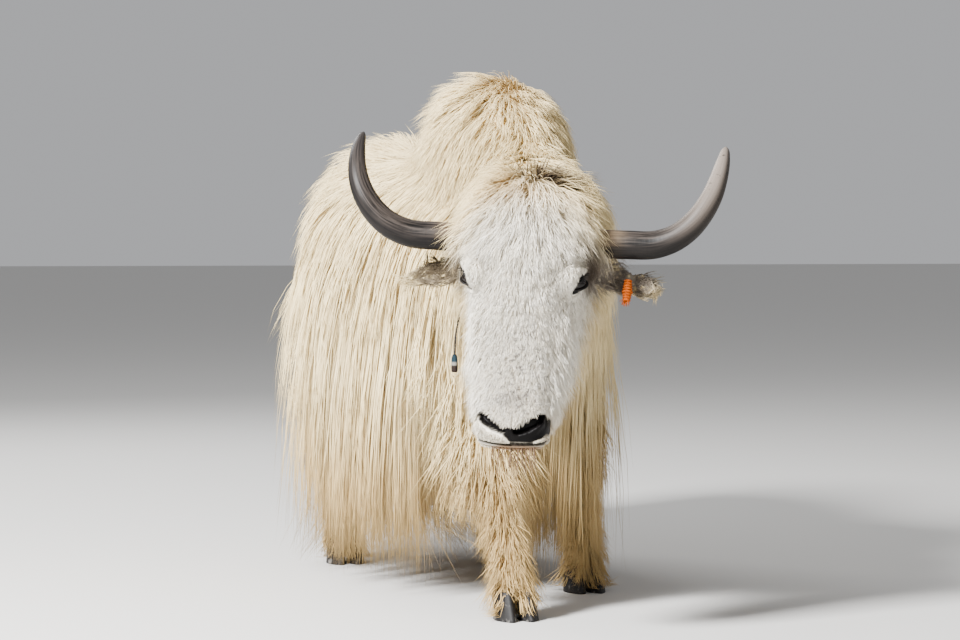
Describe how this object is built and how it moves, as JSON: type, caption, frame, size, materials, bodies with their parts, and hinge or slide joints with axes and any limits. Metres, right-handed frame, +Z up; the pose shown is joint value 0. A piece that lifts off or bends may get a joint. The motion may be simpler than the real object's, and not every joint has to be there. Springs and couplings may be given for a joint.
{
  "type": "yak",
  "caption": "Still, life-size standing yak with a long pale coat, up-curved dark horns and a lowered head turned to its right.",
  "frame": {"origin": "on the floor under the middle of the animal's length and width", "axes": "+Z up, -Y the way the animal faces, +X its left side"},
  "size_m": [0.8122, 2.0752, 1.2041],
  "materials": {
    "coat": "long straight hair, cream with yellow-tan ends",
    "horn": "dark grey-brown horn, paler at the base, worn satin",
    "hoof": "dry black horn",
    "eye": "wet dark brown",
    "yarn": "wound orange wool",
    "cord": "twisted dark cord",
    "tag": "small bound pendant, blue-grey above and brown below"
  },
  "bodies": {
    "root": {"ear_left": "coat", "ear_right": "coat", "ear_yarn": "yarn", "eye_left": "eye", "eye_right": "eye", "flank_left": "coat", "flank_right": "coat", "head": "coat", "hoof_front_left_left_claw": "hoof", "hoof_front_left_right_claw": "hoof", "hoof_front_right_left_claw": "hoof", "hoof_front_right_right_claw": "hoof", "hoof_hind_left_left_claw": "hoof", "hoof_hind_left_right_claw": "hoof", "hoof_hind_right_left_claw": "hoof", "hoof_hind_right_right_claw": "hoof", "horn_left": "horn", "horn_right": "horn", "hump": "coat", "leg_front_left": "coat", "leg_front_right": "coat", "leg_hind_left": "coat", "leg_hind_right": "coat", "neck": "coat", "neck_cord": "cord", "neck_tag": "tag", "tail_brush": "coat", "tail_dock": "coat", "torso": "coat"}
  },
  "joints": []
}
